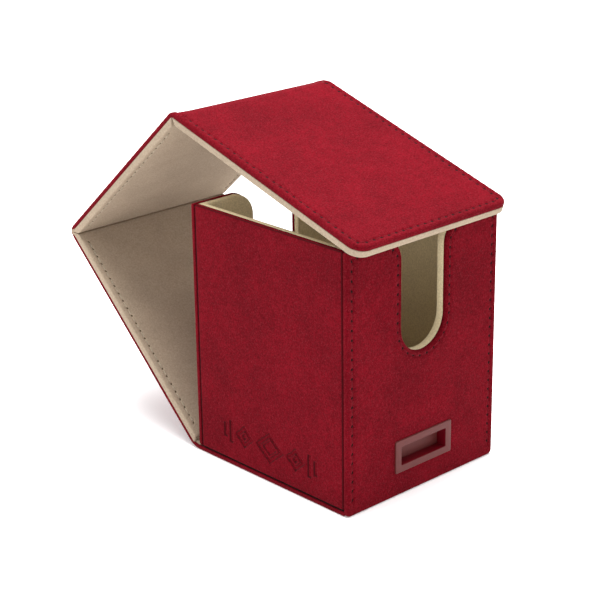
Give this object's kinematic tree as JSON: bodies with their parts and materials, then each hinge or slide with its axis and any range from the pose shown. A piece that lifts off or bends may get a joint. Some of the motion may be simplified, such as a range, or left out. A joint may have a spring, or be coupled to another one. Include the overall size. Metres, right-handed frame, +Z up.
{
  "type": "card deck box",
  "caption": "Suede-covered deck box with thumb notches, pale lining and a three-panel fold-over lid with a magnetic latch.",
  "frame": {"origin": "middle of the tray's underside", "axes": "+Z up, -Y the notched front with the latch, +X the width to the right"},
  "size_m": [0.078, 0.1653, 0.1326],
  "materials": {
    "suede": "brushed microfibre suede, matte with a soft sheen",
    "lining": "short-pile lining, matte",
    "board": "dyed fibreboard",
    "bezel": "satin moulded plastic",
    "catch_steel": "plated"
  },
  "bodies": {
    "tray": {"back_inner_board": "board", "back_lining": "lining", "back_outer_board": "board", "back_suede": "suede", "floor_inner_board": "board", "floor_lining": "lining", "floor_outer_board": "board", "floor_suede": "suede", "front_inner_board": "board", "front_lining": "lining", "front_outer_board": "board", "front_suede": "suede", "latch_bezel": "bezel", "latch_keeper": "catch_steel", "left_inner_board": "board", "left_lining": "lining", "left_outer_board": "board", "left_suede": "suede", "right_inner_board": "board", "right_lining": "lining", "right_outer_board": "board", "right_suede": "suede", "tray_hinge": "suede"},
    "back_panel": {"lid_back_inner_board": "board", "lid_back_lining": "lining", "lid_back_outer_board": "board", "lid_back_suede": "suede", "rear_fold": "suede"},
    "top_panel": {"lid_top_inner_board": "board", "lid_top_lining": "lining", "lid_top_outer_board": "board", "lid_top_suede": "suede", "front_fold": "suede"},
    "front_flap": {"lid_flap_inner_board": "board", "lid_flap_lining": "lining", "lid_flap_outer_board": "board", "lid_flap_suede": "suede", "latch_boss": "bezel", "latch_magnet": "catch_steel"}
  },
  "joints": [
    {"name": "tray_hinge", "type": "hinge", "parent": "tray", "child": "back_panel", "pos_m": [0, 0.0437, 0.0018], "axis": [-1, 0, 0], "range_deg": [0, 43.7]},
    {"name": "rear_fold", "type": "hinge", "parent": "back_panel", "child": "top_panel", "pos_m": [0, 0.11672, 0.07158], "axis": [-1, 0, 0], "range_deg": [0, 94.5]},
    {"name": "front_fold", "type": "hinge", "parent": "top_panel", "child": "front_flap", "pos_m": [0, 0.05022, 0.13103], "axis": [-1, 0, 0], "range_deg": [0, 59.1]}
  ]
}
